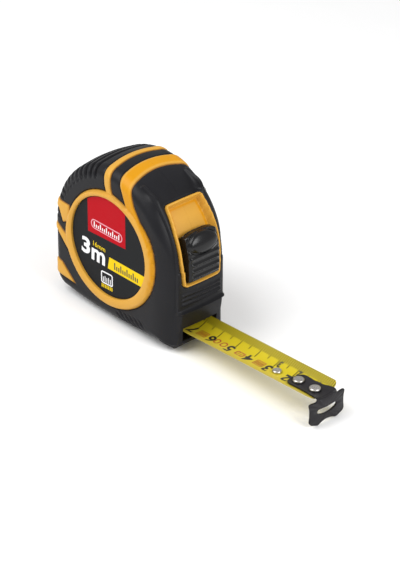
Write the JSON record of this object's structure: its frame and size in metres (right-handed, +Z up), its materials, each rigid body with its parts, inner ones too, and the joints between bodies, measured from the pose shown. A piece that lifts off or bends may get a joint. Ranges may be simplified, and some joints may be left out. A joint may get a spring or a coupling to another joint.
{
  "type": "tape measure",
  "caption": "Pocket tape measure with a rubber-gripped case, dished steel blade and end hook, thumb lock, spring return drum and belt clip.",
  "frame": {"origin": "centre of the object's box seen from above, at its lowest point, which is the foot of the end hook", "axes": "+X forward along the blade towards its hook, +Y across the case towards the belt clip, +Z up"},
  "size_m": [0.1344, 0.0402, 0.072],
  "materials": {
    "orange_plastic": "moulded ABS, satin",
    "black_rubber": "soft overmoulded grip, fine matt texture",
    "label_print": "printed foil",
    "black_plastic": "moulded, satin",
    "white_plastic": "moulded acetal",
    "yellow_blade": "lacquered spring steel with printed scale",
    "spring_steel": "cold-rolled",
    "black_steel": "black oxide",
    "bright_steel": "nickel plated",
    "pad_rubber": "friction pad"
  },
  "bodies": {
    "case": {"left_shell": "orange_plastic", "right_shell": "orange_plastic", "left_grip": "black_rubber", "right_grip": "black_rubber", "left_label": "label_print", "right_label": "label_print", "spool_arbor": "white_plastic", "case_screw_1": "bright_steel", "case_screw_2": "bright_steel", "case_screw_3": "bright_steel", "belt_clip": "spring_steel", "clip_screw": "bright_steel"},
    "drum": {"drum": "white_plastic", "drum_cover": "white_plastic", "power_spring": "spring_steel", "blade_coil": "yellow_blade"},
    "blade": {"blade": "yellow_blade", "hook_rivet_front": "bright_steel", "hook_rivet_rear": "bright_steel", "stop_rivet": "bright_steel"},
    "hook": {"hook": "black_steel"},
    "lock": {"lock_button": "black_plastic", "lock_slider": "black_plastic", "brake_pad": "pad_rubber"}
  },
  "joints": [
    {"name": "blade_slide", "type": "slide", "parent": "case", "child": "blade", "axis": [1, 0, 0], "range_m": [-0.0652, 0], "deforming": ["blade"]},
    {"name": "drum_spin", "type": "hinge", "parent": "case", "child": "drum", "pos_m": [-0.0337, -0.00355, 0.0349], "axis": [0, 1, 0], "range_deg": [0, 175]},
    {"name": "lock", "type": "hinge", "parent": "case", "child": "lock", "pos_m": [-0.0337, -0.00355, 0.0385], "axis": [0, -1, 0], "range_deg": [0, 13]},
    {"name": "hook_float", "type": "slide", "parent": "blade", "child": "hook", "axis": [1, 0, 0], "range_m": [-0.0009, 0]}
  ],
  "couplings": [
    {"joint": "drum_spin", "follows": "blade_slide", "rad_per_m": -45.455}
  ]
}
